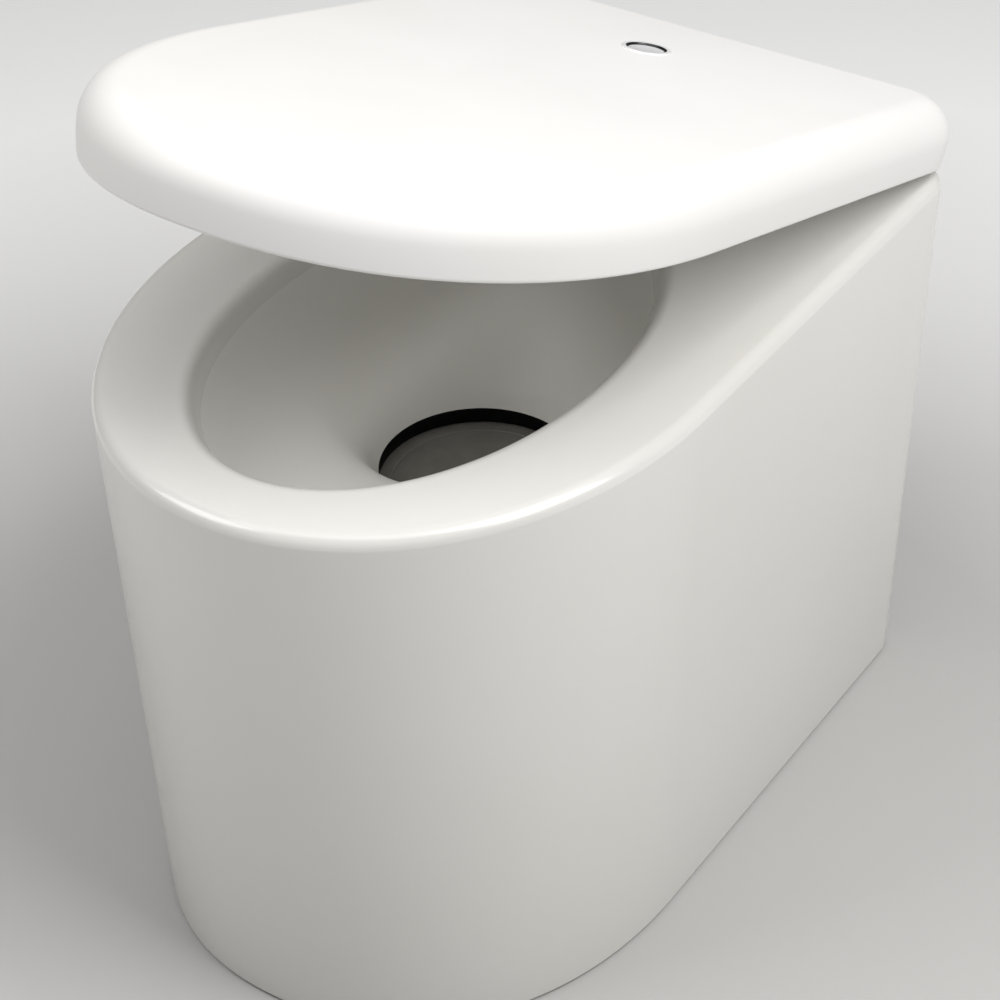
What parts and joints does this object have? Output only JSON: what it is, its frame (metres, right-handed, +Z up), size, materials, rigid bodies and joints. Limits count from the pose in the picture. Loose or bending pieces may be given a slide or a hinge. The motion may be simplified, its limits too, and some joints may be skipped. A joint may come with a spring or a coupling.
{
  "type": "incinerating toilet",
  "caption": "White floor-standing incinerating toilet with D-shaped lid, funnel bowl with bottom hatch, combustion chamber, exhaust fan and rear flue spigot.",
  "frame": {"origin": "bottom centre of the whole part's box on the floor, lid in its rest position", "axes": "-Y is the front, +Y the wall side with the exhaust spigot, +Z up, X across"},
  "size_m": [0.3894, 0.6379, 0.6312],
  "materials": {
    "casing_white": "glossy white moulding",
    "bowl_white": "glossy white bowl",
    "lid_white": "glossy white lid",
    "liner_white": "satin white underside",
    "rubber_black": "matt black",
    "rubber_grey": "soft grey",
    "hatch_steel": "heat-darkened steel",
    "steel": "plain sheet steel",
    "steel_screw": "zinc-plated",
    "steel_hot": "heat-tinted steel",
    "panel_paint": "white powder coat",
    "fibre_wool": "ceramic fibre blanket",
    "chrome": "polished",
    "bronze": "sintered bronze",
    "black_plastic": "moulded black",
    "grey_plastic": "moulded grey",
    "board_green": "circuit board",
    "gear_plastic": "natural nylon"
  },
  "bodies": {
    "toilet_body": {"outer_casing": "casing_white", "bowl": "bowl_white", "bowl_screws": "steel_screw", "throat_seal": "rubber_black", "seal_clamp_ring": "steel", "hatch_motor": "steel", "hatch_motor_bracket": "steel", "hatch_bearing_bracket": "steel", "hatch_bushes": "bronze", "combustion_chamber": "steel_hot", "chamber_top_plate": "steel_hot", "chamber_screws": "steel_screw", "insulation_jacket": "fibre_wool", "chamber_stand": "steel", "heating_elements": "steel_hot", "temperature_probe": "steel", "outlet_pipe": "steel_hot", "catalytic_can": "steel", "catalyst_core": "steel_hot", "fan_housing": "steel", "fan_motor": "black_plastic", "exhaust_spigot": "steel", "rear_panel": "panel_paint", "rear_panel_screws": "steel_screw", "spigot_screws": "steel_screw", "air_intake_grille": "black_plastic", "power_inlet": "black_plastic", "control_box": "grey_plastic", "control_board": "board_green", "control_box_cover": "grey_plastic", "base_plate": "panel_paint", "base_screws": "steel_screw", "rubber_feet": "rubber_black", "hinge_brackets": "steel", "hinge_screws": "steel_screw", "hinge_pins": "steel", "hinge_dampers": "black_plastic"},
    "lid": {"lid_shell": "lid_white", "lid_liner": "liner_white", "lid_hinge_arms": "steel", "lid_bumpers": "rubber_grey", "lid_screws": "steel_screw", "button_bezel": "chrome", "button_switch": "black_plastic", "button_spring": "steel"},
    "button": {"lid_button": "chrome"},
    "hatch": {"hatch_flap": "hatch_steel", "hatch_shaft": "steel", "hatch_gear": "gear_plastic"},
    "pinion": {"drive_pinion": "steel"},
    "fan": {"fan_impeller": "steel", "fan_shaft": "steel"},
    "cup": {"ash_cup": "steel"}
  },
  "joints": [
    {"name": "lid_hinge", "type": "hinge", "parent": "toilet_body", "child": "lid", "pos_m": [0, 0.24865, 0.3902], "axis": [-1, 0, 0], "range_deg": [-17.48, 77.5]},
    {"name": "button_press", "type": "slide", "parent": "lid", "child": "button", "axis": [0, -0.3004, -0.9538], "range_m": [0, 0.002], "stiffness_N_per_m": 700, "springref_m": -0.002, "deforming": ["button_spring"]},
    {"name": "hatch_hinge", "type": "hinge", "parent": "toilet_body", "child": "hatch", "pos_m": [0, 0.05115, 0.253], "axis": [1, 0, 0], "range_deg": [0, 90]},
    {"name": "pinion_spin", "type": "hinge", "parent": "toilet_body", "child": "pinion", "pos_m": [0.12, 0.09915, 0.253], "axis": [1, 0, 0], "range_deg": [-272, 2]},
    {"name": "fan_spin", "type": "hinge", "parent": "toilet_body", "child": "fan", "pos_m": [0, 0.19115, 0.19], "axis": [0, 1, 0], "continuous": true},
    {"name": "cup_lift", "type": "slide", "parent": "toilet_body", "child": "cup", "axis": [0, 0, 1], "range_m": [0, 0.155]}
  ],
  "couplings": [
    {"joint": "pinion_spin", "follows": "hatch_hinge", "ratio": -3}
  ]
}
